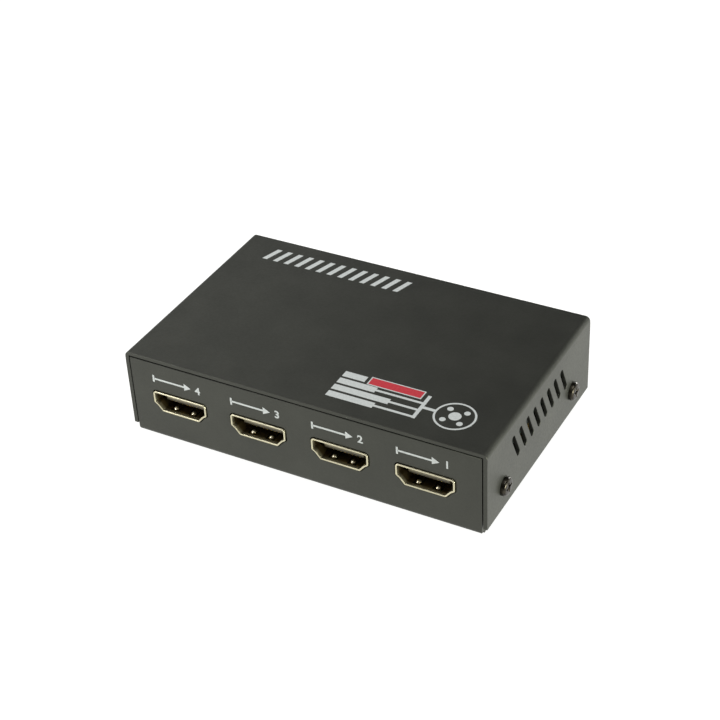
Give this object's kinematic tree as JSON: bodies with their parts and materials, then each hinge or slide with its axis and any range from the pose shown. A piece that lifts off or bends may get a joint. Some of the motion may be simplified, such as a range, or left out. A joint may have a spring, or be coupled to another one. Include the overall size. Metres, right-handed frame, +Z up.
{
  "type": "video splitter",
  "caption": "Small black sheet-metal box that copies one video input to several outputs, with slanted side vents.",
  "frame": {"origin": "on the surface that the feet stand on, below the middle of the box that holds every part", "axes": "+X across the case from output 4 towards output 1, -Y out of the outputs, +Y out of the rear panel with the input and power, +Z up"},
  "size_m": [0.0986, 0.062, 0.025],
  "materials": {
    "case_coat": "satin",
    "black_zinc": "gloss",
    "bright_zinc": "satin",
    "brass_posts": "satin",
    "gold_plate": "polished",
    "black_moulding": "matte",
    "knob_plastic": "satin",
    "tin_plate": "satin",
    "board_green": "satin",
    "chip_epoxy": "matte",
    "ferrite": "matte",
    "ceramic_tan": "matte",
    "can_aluminium": "satin",
    "lamp_red": "gloss",
    "lamp_green": "gloss",
    "foot_rubber": "matte"
  },
  "bodies": {
    "case": {"base_tray": "case_coat", "cover": "case_coat", "cover_screws": "black_zinc", "board_screws": "bright_zinc", "power_switch_frame": "bright_zinc", "board_standoffs": "brass_posts", "output_socket_4_shell": "gold_plate", "output_socket_3_shell": "gold_plate", "output_socket_2_shell": "gold_plate", "output_socket_1_shell": "gold_plate", "input_socket_shell": "gold_plate", "output_socket_4_contacts": "gold_plate", "output_socket_3_contacts": "gold_plate", "output_socket_2_contacts": "gold_plate", "output_socket_1_contacts": "gold_plate", "input_socket_contacts": "gold_plate", "output_socket_4_insulator": "black_moulding", "output_socket_3_insulator": "black_moulding", "output_socket_2_insulator": "black_moulding", "output_socket_1_insulator": "black_moulding", "input_socket_insulator": "black_moulding", "dc_jack_housing": "black_moulding", "power_switch_base": "black_moulding", "capacitor_bases": "black_moulding", "dc_jack_pin": "tin_plate", "dc_jack_spring": "tin_plate", "power_switch_terminals": "tin_plate", "lamp_legs": "tin_plate", "splitter_chip_leads": "tin_plate", "chip_leads": "tin_plate", "inductor_terminals": "tin_plate", "crystal": "tin_plate", "circuit_board": "board_green", "splitter_chip": "chip_epoxy", "control_chip": "chip_epoxy", "memory_chip": "chip_epoxy", "voltage_regulators": "chip_epoxy", "surge_arrays": "chip_epoxy", "small_resistors": "chip_epoxy", "power_inductor": "ferrite", "small_capacitors": "ceramic_tan", "capacitor_cans": "can_aluminium", "power_lamp": "lamp_red", "channel_lamps": "lamp_green", "rubber_feet": "foot_rubber"},
    "switch_knob": {"power_switch_knob": "knob_plastic"}
  },
  "joints": [
    {"name": "power_switch_slide", "type": "slide", "parent": "case", "child": "switch_knob", "axis": [1, 0, 0], "range_m": [0, 0.002]}
  ]
}
